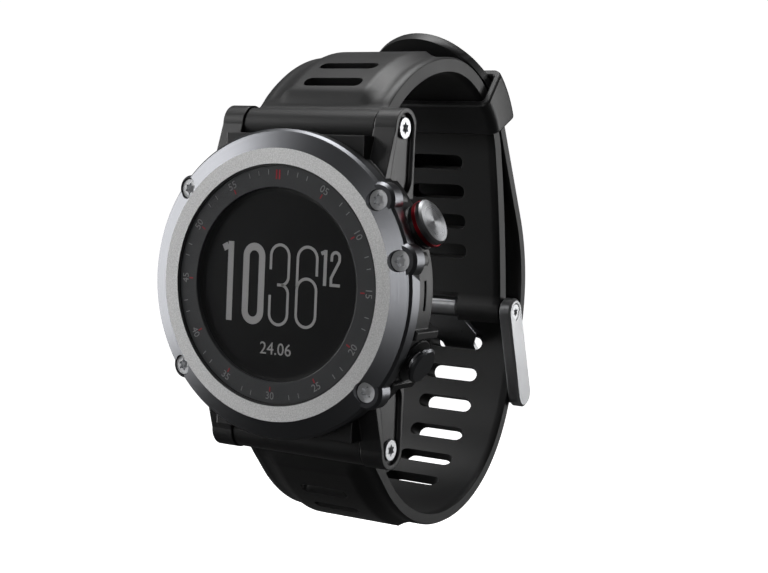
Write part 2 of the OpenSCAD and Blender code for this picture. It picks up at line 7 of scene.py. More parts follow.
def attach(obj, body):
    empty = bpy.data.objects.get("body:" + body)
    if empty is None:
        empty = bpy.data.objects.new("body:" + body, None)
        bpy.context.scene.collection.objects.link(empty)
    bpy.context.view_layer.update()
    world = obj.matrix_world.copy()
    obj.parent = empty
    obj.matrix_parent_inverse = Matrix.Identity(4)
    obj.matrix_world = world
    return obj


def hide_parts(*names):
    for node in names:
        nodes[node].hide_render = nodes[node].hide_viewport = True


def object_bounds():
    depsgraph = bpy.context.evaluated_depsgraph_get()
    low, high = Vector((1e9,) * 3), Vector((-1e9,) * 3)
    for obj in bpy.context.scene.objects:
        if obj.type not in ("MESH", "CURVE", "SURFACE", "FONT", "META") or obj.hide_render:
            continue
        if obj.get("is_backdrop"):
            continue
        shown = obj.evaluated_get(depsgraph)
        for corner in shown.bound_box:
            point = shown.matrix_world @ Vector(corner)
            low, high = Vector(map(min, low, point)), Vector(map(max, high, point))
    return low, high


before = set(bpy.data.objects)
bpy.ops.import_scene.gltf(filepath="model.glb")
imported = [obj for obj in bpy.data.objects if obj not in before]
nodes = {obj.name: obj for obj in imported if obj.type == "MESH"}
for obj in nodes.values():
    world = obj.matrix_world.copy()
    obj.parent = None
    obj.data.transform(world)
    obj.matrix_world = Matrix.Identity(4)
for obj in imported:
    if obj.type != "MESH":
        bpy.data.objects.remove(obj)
cad_low, cad_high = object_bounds()

# ---- Straps ----
# Two halves of a moulded silicone strap, 26 mm wide: a round bar at the lug, a raised panel with bevelled
# sides behind it, and rows of slots moulded right through. Each swings on a steel pin inside its bar.
MM = 0.001
STRAP_WIDTH = 26.0
SHORT_HALF = 1.45  # half of the short strap's thickness
LONG_HALF = 1.1
BAR_RADIUS = 3.1
SLOT_WIDTH = 11.8
TONGUE_SLOT = 76.3  # the long strap's slot that the tongue stands in, along its middle line
PANEL_FROM, PANEL_TO = 4.2, 26.8  # the raised panel, along the middle line
PANEL_HALF = 9.6
EYE_RADIUS = 2.35  # the short strap's end, round the buckle pin
EYE_NOTCH = 3.2  # how far the tongue's window reaches in from the pin
EYE_HALF = 3.9  # half of the window's width


def colour(hex_value):
    """The linear colour of an sRGB hex value: c/12.92 up to 0.04045, else ((c + 0.055)/1.055) to the
    power 2.4."""
    c = np.array([int(hex_value[i : i + 2], 16) for i in (1, 3, 5)]) / 255
    return (*np.where(c <= 0.04045, c / 12.92, ((c + 0.055) / 1.055) ** 2.4), 1.0)


def node(material, kind, inputs=None, **settings):
    """Adds one shader node: settings are its own attributes, inputs are socket values or links from other
    nodes."""
    made = material.node_tree.nodes.new(kind)
    for name, value in settings.items():
        setattr(made, name, value)
    for name, value in (inputs or {}).items():
        if isinstance(value, bpy.types.NodeSocket):
            material.node_tree.links.new(value, made.inputs[name])
        else:
            made.inputs[name].default_value = value
    return made


def finish(name, **sockets):
    """A material with one Principled shader: returns it, the shader and an Object coordinate socket."""
    material = bpy.data.materials.new(name)
    material.use_nodes = True
    shader = material.node_tree.nodes["Principled BSDF"]
    for key, value in sockets.items():
        shader.inputs[key.replace("_", " ")].default_value = value
    place = node(material, "ShaderNodeTexCoord").outputs["Object"]
    return material, shader, place


def wire(material, source, target):
    """Links one socket to another."""
    material.node_tree.links.new(source, target)


def piece(name, points, faces, body, material, smooth=35, bevel=0.0, hides=()):
    """A mesh from millimetre points and faces: doubles merged, normals outward, riding on a CAD body.
    Edges sharper than smooth degrees stay crisp; bevel is the radius, in millimetres, that softens them."""
    mesh = bpy.data.meshes.new(name)
    mesh.from_pydata((np.asarray(points) * MM).tolist(), [], np.asarray(faces).tolist())
    work = bmesh.new()
    work.from_mesh(mesh)
    bmesh.ops.remove_doubles(work, verts=work.verts, dist=2e-6)
    bmesh.ops.dissolve_degenerate(work, edges=work.edges, dist=1e-6)
    bmesh.ops.recalc_face_normals(work, faces=work.faces)
    work.to_mesh(mesh)
    work.free()
    made = bpy.data.objects.new(name, mesh)
    bpy.context.scene.collection.objects.link(made)
    mesh.materials.append(material)
    mesh.shade_smooth()
    mesh.set_sharp_from_angle(angle=np.radians(smooth))
    if bevel:
        soft = made.modifiers.new("edge", "BEVEL")
        soft.width, soft.segments, soft.limit_method = bevel * MM, 2, "ANGLE"
        soft.angle_limit, soft.harden_normals = np.radians(50), False
    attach(made, body)
    if hides:
        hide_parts(*hides)
    return made


def walk(start, stretches, s):
    """Middle line of a strap at distances s: each stretch is an arc of [length, turn in degrees], so the
    heading grows evenly and the chord of a part of it is its length times sin(half turn)/half turn. Gives y,
    z, heading."""
    states, at = [np.array(start, float)], [0.0]
    for length, turn in stretches:
        y, z, h = states[-1]
        half = np.radians(turn) / 2
        chord = length * np.sinc(half / np.pi)
        way = np.radians(h) + half
        states.append(np.array([y + chord * np.cos(way), z + chord * np.sin(way), h + turn]))
        at.append(at[-1] + length)
    states, at, arcs = np.array(states), np.array(at), np.array(stretches, float)
    i = np.clip(np.searchsorted(at, s, side="right") - 1, 0, len(arcs) - 1)
    part = s - at[i]
    turned = np.radians(arcs[i, 1] / arcs[i, 0]) * part
    chord = part * np.sinc(turned / 2 / np.pi)
    way = np.radians(states[i, 2]) + turned / 2
    heading = np.radians(states[i, 2]) + turned
    return states[i, 0] + chord * np.cos(way), states[i, 1] + chord * np.sin(way), heading


SHORT_START = (-3.99, 26.51, 54.7)
SHORT_RUN = [(26.8, -52.7), (26.138, -78), (30.9, -8.5)]
SHORT_LENGTH = 83.84
LOOP_CENTRE = np.array([19.44, 19.6])
LONG_RADIUS = 21.95
LONG_START = (-4.0, -26.6, -48.0)
low_run = [(10.5, 0), (50.5, 112), (6.5, 11)]
low_y, low_z, low_h = walk(LONG_START, low_run, np.array([67.5]))
swell_y, swell_z, _ = walk((0, 0, 75), [(24, 42)], np.array([24.0]))
rise = np.radians(117)
reach = LOOP_CENTRE + LONG_RADIUS * np.array([np.cos(rise - np.pi / 2), np.sin(rise - np.pi / 2)])
# the two straights of the long strap are solved so that it meets the circle it follows under the keeper
gap = reach - np.array([low_y[0] + swell_y[0], low_z[0] + swell_z[0]])
ways = np.array([[np.cos(low_h[0]), np.cos(rise)], [np.sin(low_h[0]), np.sin(rise)]])
first_straight, second_straight = np.linalg.solve(ways, gap)
LONG_RUN = low_run + [
    (first_straight, 0),
    (24, 42),
    (second_straight, 0),
    (LONG_RADIUS * np.radians(18), 18),
    (12.95, -11.4),
]
LONG_LENGTH = sum(length for length, _ in LONG_RUN)


def ruled(low, high, step, stops):
    """Grid lines from low to high: the stops, and even steps wherever they are 0.55 or more from every
    stop."""
    even = np.arange(low, high, step)
    far = np.abs(even[:, None] - np.array(stops)[None, :]).min(1) > 0.55
    return np.unique(np.round(np.concatenate([even[far], stops, [low, high]]), 5))


def slab(outer, inner, solid):
    """A closed sheet with holes: outer and inner are grids of points, solid says which cells are filled. A
    filled cell gives a face on each side, and every line between a filled and an empty cell gives a wall."""
    n, m = outer.shape[:2]
    index = np.arange(n * m).reshape(n, m)
    under = index + n * m
    a, b, c, d = index[:-1, :-1], index[1:, :-1], index[1:, 1:], index[:-1, 1:]
    top = np.stack([a, b, c, d], -1)[solid]
    bottom = (np.stack([d, c, b, a], -1) + n * m)[solid]
    ringed = np.pad(solid, 1)
    across = ringed[1:, 1:-1] != ringed[:-1, 1:-1]
    along = ringed[1:-1, 1:] != ringed[1:-1, :-1]
    row = np.stack([index[:, :-1], index[:, 1:], under[:, 1:], under[:, :-1]], -1)[across]
    column = np.stack([index[:-1, :], index[1:, :], under[1:, :], under[:-1, :]], -1)[along]
    faces = np.concatenate([top, bottom, row, column])
    used, flat = np.unique(faces, return_inverse=True)
    points = np.concatenate([outer.reshape(-1, 3), inner.reshape(-1, 3)])[used]
    return points, flat.reshape(faces.shape)


def silicone(name, hex_value, rough, speck):
    """Moulded silicone: soft satin black that scatters light in a broad sheen, with a fine spark-eroded
    skin."""
    material, shader, place = finish(
        name, Base_Color=colour(hex_value), Roughness=rough, IOR=1.41, Sheen_Weight=0.03, Sheen_Roughness=0.5
    )
    # the skin's grain is about 0.08 mm on the mould; it is drawn at 0.25 mm so that it shows
    grain = node(
        material, "ShaderNodeTexNoise", {"Vector": place, "Scale": 4000, "Detail": 3, "Roughness": 0.6}
    )
    cloud = node(material, "ShaderNodeTexNoise", {"Vector": place, "Scale": 90, "Detail": 4})
    tone = node(
        material,
        "ShaderNodeMapRange",
        {"Value": cloud.outputs["Fac"], "To Min": 1 - speck, "To Max": 1 + speck},
    )
    base = node(
        material,
        "ShaderNodeVectorMath",
        {0: colour(hex_value)[:3], "Scale": tone.outputs["Result"]},
        operation="SCALE",
    )
    wire(material, base.outputs["Vector"], shader.inputs["Base Color"])
    spread = node(
        material,
        "ShaderNodeMapRange",
        {"Value": cloud.outputs["Fac"], "To Min": rough - 0.06, "To Max": rough + 0.06},
    )
    wire(material, spread.outputs["Result"], shader.inputs["Roughness"])
    bump = node(
        material, "ShaderNodeBump", {"Height": grain.outputs["Fac"], "Strength": 0.12, "Distance": 0.00006}
    )
    wire(material, bump.outputs["Normal"], shader.inputs["Normal"])
    return material


def strap(
    name, start, run, length, half, side, slots, lug_slots, body, material, hides,
    nose=False, eye=None, mouth=0.0,
):
    """A strap half. Its section is carried along the middle line: thickness grows to the lug bar as a
    circle, sqrt(r^2 - s^2), and the outer side adds the panel, a plateau with ramps. The nose narrows as half
    a circle, and the eye is a second circle, round the buckle pin."""
    within_slot = (-1, -0.92, -0.7, -0.38, 0, 0.38, 0.7, 0.92, 1)
    edges = [s + d * h / 2 for s, h in slots + lug_slots for d in within_slot]
    corners = [PANEL_FROM, PANEL_FROM + 1.4, PANEL_TO - 1.6, PANEL_TO] + ([eye - EYE_NOTCH] if eye else [])
    s = ruled(3.4, length, 0.9, edges + corners)
    bar = -BAR_RADIUS * np.cos(np.linspace(0.03, np.pi * 0.93, 22))
    s = np.concatenate([bar[bar < 3.2], s])
    if nose:
        middle = length - STRAP_WIDTH / 2 - 0.15
        round_end = middle + STRAP_WIDTH / 2 * np.sin(np.linspace(0, np.pi / 2 - 0.02, 24))
        s = np.concatenate([s[s < middle - 0.4], round_end])
    # across the strap: the window's edge, the slots' ends, the panel's ramp, the thinned edge and the rim
    window = EYE_HALF if eye else 2.6
    x = np.array([0, window, SLOT_WIDTH / 2, 7.1, 8.4, PANEL_HALF, 11.4, 12.55, STRAP_WIDTH / 2])
    x = np.concatenate([-x[:0:-1], x])
    y, z, h = walk(start, run, s)
    round_bar = np.sqrt(np.maximum(BAR_RADIUS**2 - s**2, 0.0004))
    flow = np.clip((s - 1.8) / 3.2, 0, 1)
    thick = np.where(s < 1.8, round_bar, round_bar * (1 - flow) ** 2 + half * (1 - (1 - flow) ** 2))
    ramp = np.clip((s - PANEL_FROM) / 1.4, 0, 1) * np.clip((PANEL_TO - s) / 1.6, 0, 1)
    plateau = np.clip((PANEL_HALF - np.abs(x)) / 1.2, 0, 1)
    # the long edges of the strap thin a little, as a moulded edge does
    thin = 1 - 0.22 * np.clip((np.abs(x) - 12.55) / 0.45, 0, 1) * (s[:, None] > 3.5)
    outer = thick[:, None] * thin + ramp[:, None] * plateau[None, :]
    inner = thick[:, None] * thin
    if eye:
        roll = np.sqrt(np.maximum(EYE_RADIUS**2 - (s - eye) ** 2, 0))
        outer, inner = np.maximum(outer, roll[:, None]), np.maximum(inner, roll[:, None])
    width = np.ones_like(s)
    if nose:
        width = np.where(s > middle, np.sqrt(np.maximum(1 - ((s - middle) / 13) ** 2, 1e-6)), 1)
    normal = side * np.stack([-np.sin(h), np.cos(h)], -1)
    spread = x[None, :] * width[:, None]
    # half circles at the slots' ends, r - sqrt(r^2 - d^2) in from them, and an outer mouth that is narrower
    shorter, lip = np.zeros_like(s), np.zeros_like(s)
    for at, high in slots + lug_slots:
        r, d = high / 2, np.abs(s - at)
        within = d <= r + 1e-6
        shorter += np.where(within, r - np.sqrt(np.maximum(r * r - d * d, 0)), 0)
        lip += np.where(within, mouth, 0)

    def offset(d, inset):
        ends = np.sign(spread) * (np.abs(x) == SLOT_WIDTH / 2)[None, :] * inset[:, None]
        return np.stack([spread - ends, y[:, None] + d * normal[:, :1], z[:, None] + d * normal[:, 1:]], -1)

    mid_s, mid_x = (s[1:] + s[:-1]) / 2, np.abs(x[1:] + x[:-1]) / 2
    solid = np.ones((len(mid_s), len(mid_x)), bool)
    for at, high in slots + lug_slots:
        solid &= ~((np.abs(mid_s - at) < high / 2)[:, None] & (mid_x < SLOT_WIDTH / 2)[None, :])
    if eye:
        solid &= ~((mid_s > eye - EYE_NOTCH)[:, None] & (mid_x < EYE_HALF)[None, :])
    points, faces = slab(offset(outer, shorter + lip), offset(-inner, shorter), solid)
    made = piece(name, points, faces, body, material, 40, 0.3, hides)
    return made


strap_skin = silicone("Moulded silicone, satin black", "#0b0b0c", 0.46, 0.08)
short_slots = [(54.9 + 5.85 * k, 2.8) for k in range(4)]
long_slots = [(TONGUE_SLOT + 6.4 * k, 2.8) for k in range(-5, 3)]
strap(
    "short_strap_moulding", SHORT_START, SHORT_RUN, SHORT_LENGTH + 2.3, SHORT_HALF, 1, short_slots,
    [(8.3, 2.2), (13.6, 2.2)], "short_half", strap_skin, ("short_strap",), eye=SHORT_LENGTH,
)
strap(
    "long_strap_moulding", LONG_START, LONG_RUN, LONG_LENGTH, LONG_HALF, -1, long_slots,
    [(12.1, 2.2), (17.6, 2.2)], "long_half", strap_skin, ("long_strap",), nose=True, mouth=1.1,
)

# ---- Loop keeper ----
# A closed band of softer silicone that holds the strap's free end against the short strap. It is moulded
# smooth, without the slots' grain, and slides along the strap.
KEEPER_FROM, KEEPER_TO = np.radians(28.0), np.radians(52.0)
KEEPER_WALL = 1.4
keeper_inner, keeper_outer = 17.5, LONG_RADIUS + LONG_HALF + 0.75
keeper_half = STRAP_WIDTH / 2 + 0.3


def rounded_box(low, high, half, radius):
    """The outline of a rounded rectangle in the (radius, x) plane: four quarter circles joined by
    straights."""
    q = np.linspace(0, np.pi / 2, 9)
    corners = [
        (high - radius, half - radius),
        (low + radius, half - radius),
        (low + radius, -half + radius),
        (high - radius, -half + radius),
    ]
    arcs = [
        np.stack([c[0] + radius * np.cos(q + k * np.pi / 2), c[1] + radius * np.sin(q + k * np.pi / 2)], -1)
        for k, c in enumerate(corners)
    ]
    return np.concatenate(arcs)


def closed_grid(grid, wrap_rows=False):
    """Faces of a grid whose columns close on themselves, and its rows too if wrap_rows is set."""
    n, m = grid.shape[:2]
    rows = np.arange(n if wrap_rows else n - 1)
    i, j = np.meshgrid(rows, np.arange(m), indexing="ij")
    k, l = (i + 1) % n, (j + 1) % m
    faces = np.stack([i * m + j, k * m + j, k * m + l, i * m + l], -1).reshape(-1, 4)
    return grid.reshape(-1, 3), faces


outline_out = rounded_box(
    keeper_inner - KEEPER_WALL, keeper_outer + KEEPER_WALL, keeper_half + KEEPER_WALL, 1.9
)
outline_in = rounded_box(keeper_inner, keeper_outer, keeper_half, 0.6)
sweep = np.linspace(KEEPER_FROM, KEEPER_TO, 17)
# out along the outer skin, round the far rim, back along the inner skin: a band that closes on itself, whose
# outer skin swells a little about its middle, which lies BAND_MIDDLE from the centre of the loop
BAND_MIDDLE = 20
swell = 0.35 * np.sin(np.linspace(0, np.pi, 17)) ** 0.6
rings = [(a, outline_out, g) for a, g in zip(sweep, swell)] + [(a, outline_in, 0.0) for a in sweep[::-1]]
angle = np.array([r[0] for r in rings])[:, None]
section = np.array([r[1] for r in rings])
puff = 1 + np.array([r[2] for r in rings])[:, None] / 60
radial = (section[..., 0] - BAND_MIDDLE) * puff + BAND_MIDDLE
band = np.stack(
    [
        section[..., 1] * puff,
        LOOP_CENTRE[0] + radial * np.cos(angle),
        LOOP_CENTRE[1] + radial * np.sin(angle),
    ],
    -1,
)
keeper_skin = silicone("Moulded silicone, smooth", "#1c1c1d", 0.42, 0.05)
keeper = piece("keeper_band", *closed_grid(band, True), "keeper", keeper_skin, 50, 0.35, ("strap_keeper",))

# ---- Buckle ----
# A stainless steel frame: two stamped arms with rounded ends, joined by a far bar, turning on a pin through
# the short strap's end. The faces have a satin finish and the edges are chamfered.
BUCKLE_PIN = np.array([43.27, -6.16])
ARM_IN, ARM_OUT = 13.3, 15.8
ARM_PIN_R, ARM_END_R = 2.6, 2.7
ARM_CHAMFER = 0.4
FAR_BAR_R = 1.2
(bar_y, arm_y), (bar_z, arm_z), (bar_h, _) = walk(LONG_START, LONG_RUN, np.array([66.9, 67.8]))
across_strap = np.array([np.sin(bar_h), -np.cos(bar_h)])
bar_at = np.array([bar_y, bar_z]) + across_strap * (LONG_HALF + 1.45)
arm_at = np.array([arm_y, arm_z]) + across_strap * 1.4


def stadium(a, ra, b, rb, inset):
    """Outline of two discs and their common tangents, inset by an amount: an arc about a, then one about b.
    The tangents touch at 90 degrees less arcsin((ra - rb)/distance) from the line between the centres."""
    d = b - a
    heading = np.arctan2(d[1], d[0])
    touch = np.pi / 2 - np.arcsin((ra - rb) / np.hypot(*d))
    first = heading + np.linspace(touch, 2 * np.pi - touch, 25)
    second = heading + np.linspace(-touch, touch, 25)
    arc_a = a + (ra - inset) * np.stack([np.cos(first), np.sin(first)], -1)
    arc_b = b + (rb - inset) * np.stack([np.cos(second), np.sin(second)], -1)
    return np.concatenate([arc_a, arc_b])


def rows_along_x(rows):
    """A grid from [x, outline] rows, where an outline is points of the YZ plane; a row of one point is a
    pole."""
    count = max(len(outline) for _, outline in rows)
    return np.stack(
        [np.column_stack([np.full(count, x), np.broadcast_to(outline, (count, 2))]) for x, outline in rows]
    )


def brushed(name, hex_value, rough, grain_mm, along, depth=0.000002, patch=0.06):
    """Brushed metal: fine parallel scratches stretch the highlights across the brushing. The scratches are
    noise that is squeezed on each axis by along, so they run where it is small, and 1, 1, 1 is even."""
    material, shader, place = finish(name, Base_Color=colour(hex_value), Metallic=1.0, Roughness=rough)
    squeeze = [f * 1000 / grain_mm for f in along]
    fine = node(material, "ShaderNodeMapping", {"Vector": place, "Scale": squeeze})
    scratch = node(
        material, "ShaderNodeTexNoise", {"Vector": fine.outputs["Vector"], "Scale": 1, "Detail": 3}
    )
    cloud = node(material, "ShaderNodeTexNoise", {"Vector": place, "Scale": 160, "Detail": 3})
    both = node(
        material, "ShaderNodeMath", {0: scratch.outputs["Fac"], 1: cloud.outputs["Fac"]}, operation="ADD"
    )
    spread = node(
        material,
        "ShaderNodeMapRange",
        {
            "Value": both.outputs["Value"],
            "From Min": 0.4,
            "From Max": 1.6,
            "To Min": rough - patch,
            "To Max": rough + patch,
        },
    )
    wire(material, spread.outputs["Result"], shader.inputs["Roughness"])
    bump = node(
        material, "ShaderNodeBump", {"Height": scratch.outputs["Fac"], "Strength": 0.35, "Distance": depth}
    )
    wire(material, bump.outputs["Normal"], shader.inputs["Normal"])
    return material


buckle_steel = brushed("Stainless steel, satin brushed", "#b9babc", 0.3, 0.12, (1.0, 0.12, 0.12))
rim, edge = (stadium(BUCKLE_PIN, ARM_PIN_R, arm_at, ARM_END_R, inset) for inset in (0, ARM_CHAMFER))
for side_name, mirror in (("right", 1), ("left", -1)):
    shape = [
        (ARM_IN, BUCKLE_PIN),
        (ARM_IN, edge),
        (ARM_IN + ARM_CHAMFER, rim),
        (ARM_OUT - ARM_CHAMFER, rim),
        (ARM_OUT, edge),
    ]
    spokes = shape[-1][1] - BUCKLE_PIN
    spokes = spokes / np.hypot(spokes[:, 0], spokes[:, 1])[:, None]
    shape += [(ARM_OUT, BUCKLE_PIN + 1.72 * spokes), (ARM_OUT - 0.15, BUCKLE_PIN + 1.57 * spokes)]
    shape += [(ARM_OUT - 1.15, BUCKLE_PIN + 1.57 * spokes), (ARM_OUT - 1.15, BUCKLE_PIN)]
    grid = rows_along_x([(x * mirror, outline) for x, outline in shape])
    arm = piece(
        "buckle_arm_" + side_name, *closed_grid(grid), "buckle", buckle_steel, 30,
        hides=("buckle_frame",) if mirror == 1 else (),
    )
turn = np.linspace(0, 2 * np.pi, 49)[:-1]
ring = np.stack([np.cos(turn), np.sin(turn)], -1)
far_bar = rows_along_x([(x, bar_at + FAR_BAR_R * ring) for x in (-13.8, -13.2, 13.2, 13.8)])
piece("buckle_far_bar", *closed_grid(far_bar), "buckle", buckle_steel)

# ---- Tongue ----
# A plate of the same steel, rolled round the buckle pin at one end and bent once. It comes narrow through the
# window of the short strap, widens to the bend, and narrows again to a tip that stands in a slot of the long
# strap.
TONGUE_TILT = -42  # the heading of the tip, in degrees
ROLL_IN, ROLL_OUT = 1.0, 1.9
TIP_HALF, BEND_HALF = 3.5, 5.5
cross_y, cross_z, _ = walk(LONG_START, LONG_RUN, np.array([TONGUE_SLOT]))
tongue_way = np.radians(TONGUE_TILT)
ahead = np.array([np.cos(tongue_way), np.sin(tongue_way)])
crossing = np.array([cross_y[0], cross_z[0]])
bend_at = crossing - 3.6 * ahead
neck = bend_at - BUCKLE_PIN
neck_way = np.degrees(np.arctan2(neck[1], neck[0]))
neck_length = np.hypot(*neck)
plate_run = [(neck_length - 1.5, 0), (3.0, TONGUE_TILT - neck_way), (7.1, 0)]
s = np.linspace(0, neck_length + 8.6, 40)
y, z, h = walk((*BUCKLE_PIN, neck_way), plate_run, s)
half_width = np.interp(s, [2.2, neck_length, neck_length + 3.6], [TIP_HALF, BEND_HALF, TIP_HALF])
half_width = half_width - 1.2 * (1 - np.sqrt(1 - np.clip((s - s[-1] + 1.2) / 1.2, 0, 1) ** 2))
x = np.linspace(-1, 1, 15)
normal = np.stack([-np.sin(h), np.cos(h)], -1)
plate = [
    np.stack(
        [
            x[None, :] * half_width[:, None],
            (y[:, None] + d * normal[:, :1]) + 0 * x,
            (z[:, None] + d * normal[:, 1:]) + 0 * x,
        ],
        -1,
    )
    for d in (0.5, -0.5)
]
solid = np.ones((len(s) - 1, len(x) - 1), bool)
tongue = piece("tongue_plate", *slab(*plate, solid), "tongue", buckle_steel, 40, 0.2, ("buckle_tongue",))
roll = rows_along_x(
    [
        (x, BUCKLE_PIN + r * ring)
        for x, r in (
            (-3.5, ROLL_IN), (-3.5, 1.7), (-3.3, ROLL_OUT), (3.3, ROLL_OUT), (3.5, 1.7), (3.5, ROLL_IN)
        )
    ]
)
piece("tongue_roll", *closed_grid(roll, True), "tongue", buckle_steel)

# ---- Middle case ----
# A glass-filled polymer moulding with its lugs, button seats and vent in one, black, with a fine spark-eroded
# skin. Each lug's outer face has a hollow round its screw, with a chamfer that catches the light.


def dress(material, *names):
    """Gives a material to CAD nodes that stay."""
    for name in names:
        nodes[name].data.materials.clear()
        nodes[name].data.materials.append(material)


def moulded(name, hex_value, rough, grain_mm=0.3, strength=0.25, edge_mm=0.0):
    """Moulded engineering plastic: an even dielectric skin whose spark-eroded grain dulls the highlights."""
    material, shader, place = finish(name, Base_Color=colour(hex_value), Roughness=rough, IOR=1.5)
    grain = node(
        material,
        "ShaderNodeTexNoise",
        {"Vector": place, "Scale": 1000 / grain_mm, "Detail": 2, "Roughness": 0.7},
    )
    cloud = node(material, "ShaderNodeTexNoise", {"Vector": place, "Scale": 120, "Detail": 3})
    spread = node(
        material,
        "ShaderNodeMapRange",
        {"Value": cloud.outputs["Fac"], "To Min": rough - 0.07, "To Max": rough + 0.07},
    )
    wire(material, spread.outputs["Result"], shader.inputs["Roughness"])
    bump = node(
        material,
        "ShaderNodeBump",
        {"Height": grain.outputs["Fac"], "Strength": strength, "Distance": 0.00003},
    )
    wire(material, bump.outputs["Normal"], shader.inputs["Normal"])
    if edge_mm:
        soft = node(material, "ShaderNodeBevel", {"Radius": edge_mm * MM}, samples=6)
        wire(material, soft.outputs["Normal"], bump.inputs["Normal"])
    return material


case_polymer = moulded("Glass-filled polyamide, black", "#121213", 0.42, edge_mm=0.3)
dress(case_polymer, "case_body")

# ---- Bezel ----
# A stainless steel ring coated dark by vapour deposition. Its flat front is blasted bright and its sloped
# flank is satin; five screws hold it in ears that stand out of the flank.


def turned(name, hex_value, rough, grain_mm):
    """Metal turned about the dial's axis: noise that reads only the distance from that axis gives fine
    rings, and an anisotropic shader stretches the highlight into the two bright fans that turned metal
    shows."""
    material, shader, place = finish(
        name, Base_Color=colour(hex_value), Metallic=1.0, Roughness=rough, Anisotropic=0.3
    )
    plane = node(material, "ShaderNodeVectorMath", {0: place, 1: (1, 0, 1)}, operation="MULTIPLY")
    away = node(material, "ShaderNodeVectorMath", {0: plane.outputs["Vector"]}, operation="LENGTH")
    rings = node(
        material, "ShaderNodeTexNoise", {"W": away.outputs["Value"], "Scale": 1000 / grain_mm, "Detail": 3},
        noise_dimensions="1D",
    )
    spread = node(
        material,
        "ShaderNodeMapRange",
        {"Value": rings.outputs["Fac"], "To Min": rough - 0.08, "To Max": rough + 0.08},
    )
    wire(material, spread.outputs["Result"], shader.inputs["Roughness"])
    bump = node(
        material, "ShaderNodeBump", {"Height": rings.outputs["Fac"], "Strength": 0.3, "Distance": 0.000012}
    )
    wire(material, bump.outputs["Normal"], shader.inputs["Normal"])
    round_axis = node(material, "ShaderNodeTangent", direction_type="RADIAL", axis="Y")
    wire(material, round_axis.outputs["Tangent"], shader.inputs["Tangent"])
    return material


COATING = "#66676a"
FACING_OUT = -0.98  # the front looks within 11 degrees of the dial's axis
FRONT_FROM = 15.2  # and lies at least this high above the case back
bezel_coat = turned("Stainless steel, dark coated flank and blasted front", COATING, 0.34, 0.18)
# the flat front is masked from the coating and blasted bright
bezel_nodes = bezel_coat.node_tree.nodes
true_normal = node(bezel_coat, "ShaderNodeNewGeometry").outputs["True Normal"]
facing_out = node(bezel_coat, "ShaderNodeSeparateXYZ", {0: true_normal})
depth_in = node(bezel_coat, "ShaderNodeSeparateXYZ", {0: bezel_nodes["Texture Coordinate"].outputs["Object"]})
front = node(bezel_coat, "ShaderNodeMath", {0: facing_out.outputs["Y"], 1: FACING_OUT}, operation="LESS_THAN")
high = node(
    bezel_coat, "ShaderNodeMath", {0: depth_in.outputs["Y"], 1: -FRONT_FROM * MM}, operation="LESS_THAN"
)
flat_front = node(
    bezel_coat,
    "ShaderNodeMath",
    {0: front.outputs["Value"], 1: high.outputs["Value"]},
    operation="MULTIPLY",
)
blast = node(
    bezel_coat,
    "ShaderNodeTexNoise",
    {"Vector": bezel_nodes["Texture Coordinate"].outputs["Object"], "Scale": 4500, "Detail": 2},
)
blast_tone = node(
    bezel_coat,
    "ShaderNodeMapRange",
    {"Value": blast.outputs["Fac"], "From Min": 0.3, "From Max": 0.7, "To Min": 0.48, "To Max": 0.68},
)
ring_rgb = node(bezel_coat, "ShaderNodeCombineColor")
for channel in ("Red", "Green", "Blue"):
    wire(bezel_coat, blast_tone.outputs["Result"], ring_rgb.inputs[channel])
two_tone = node(
    bezel_coat,
    "ShaderNodeMix",
    {"Factor": flat_front.outputs["Value"], 6: colour(COATING), 7: ring_rgb.outputs["Color"]},
    data_type="RGBA",
)
bezel_shader = bezel_nodes["Principled BSDF"]
wire(bezel_coat, two_tone.outputs[2], bezel_shader.inputs["Base Color"])
satin = bezel_shader.inputs["Roughness"].links[0].from_socket
matt = node(bezel_coat, "ShaderNodeMath", {0: flat_front.outputs["Value"], 1: 0.58}, operation="MULTIPLY")
rougher = node(bezel_coat, "ShaderNodeMath", {0: satin, 1: matt.outputs["Value"]}, operation="MAXIMUM")
wire(bezel_coat, rougher.outputs["Value"], bezel_shader.inputs["Roughness"])
dress(bezel_coat, "bezel")
screw_steel = brushed("Stainless steel, screw heads", "#d6d7d9", 0.5, 0.2, (1, 1, 1), patch=0.05)
dress(
    screw_steel, "bezel_screws", "back_screws", "board_screws", "upper_lug_screws", "lower_lug_screws",
    "upper_lug_pin", "lower_lug_pin", "buckle_pin_rod", "buckle_screws",
)

# ---- Lens and dial ----
# A flat chemically strengthened glass in a black gasket. Under it a printed ring carries the minute marks,
# and a step lower the transflective display shows a time in pale grey on black behind a black border. The
# border's black is also painted shade, where the printed ring's inner wall shades the display.
LENS_TOP = 15.4
RING_TOP = 14.9
SCREEN_TOP = 14.05
RING_INNER = 16.1


def lathe(profile):
    """Carries a profile of (radius, height above the case back) points round the dial's axis."""
    profile = np.array(profile, float)
    a = np.linspace(0, 2 * np.pi, 193)[:-1]
    return np.stack(
        [
            profile[:, :1] * np.cos(a),
            np.broadcast_to(-profile[:, 1:], (len(profile), len(a))),
            profile[:, :1] * np.sin(a),
        ],
        -1,
    )


